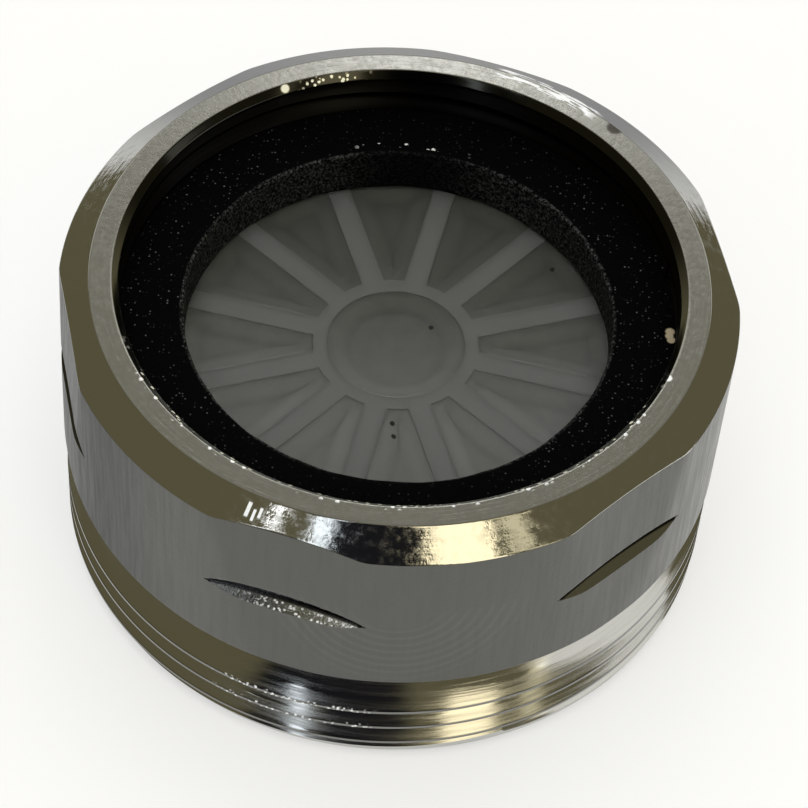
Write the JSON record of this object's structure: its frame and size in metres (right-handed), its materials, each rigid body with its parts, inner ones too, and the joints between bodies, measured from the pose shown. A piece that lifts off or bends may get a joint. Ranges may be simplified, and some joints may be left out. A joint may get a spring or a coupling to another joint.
{
  "type": "tap aerator",
  "caption": "Round chromed tap aerator with grip facets, a threaded inlet collar holding a rubber washer over a spoked strainer, a mixing insert inside and a finely threaded outlet end.",
  "frame": {"origin": "middle of the outlet face, the ring that the part stands on", "axes": "+Z along the turning axis from the outlet face up to the inlet rim; a grip facet is centred 15 degrees from +X towards +Y"},
  "size_m": [0.0239, 0.0238, 0.0125],
  "materials": {
    "chrome_body": "satin chrome band between bright turned chamfers",
    "washer_rubber": "matte, dusty",
    "milky_plastic": "milky, satin",
    "nylon_gauze": "very fine grey weave",
    "white_plastic": "satin",
    "screen_steel": "woven wire"
  },
  "bodies": {
    "root": {"housing": "chrome_body", "inlet_washer": "washer_rubber", "strainer_frame": "milky_plastic", "strainer_gauze": "nylon_gauze", "jet_plate": "white_plastic", "mixing_sleeve": "white_plastic", "diffuser": "white_plastic", "upper_screen": "screen_steel", "screen_spacer": "white_plastic", "lower_screen": "screen_steel", "outlet_grid": "white_plastic"}
  },
  "joints": []
}
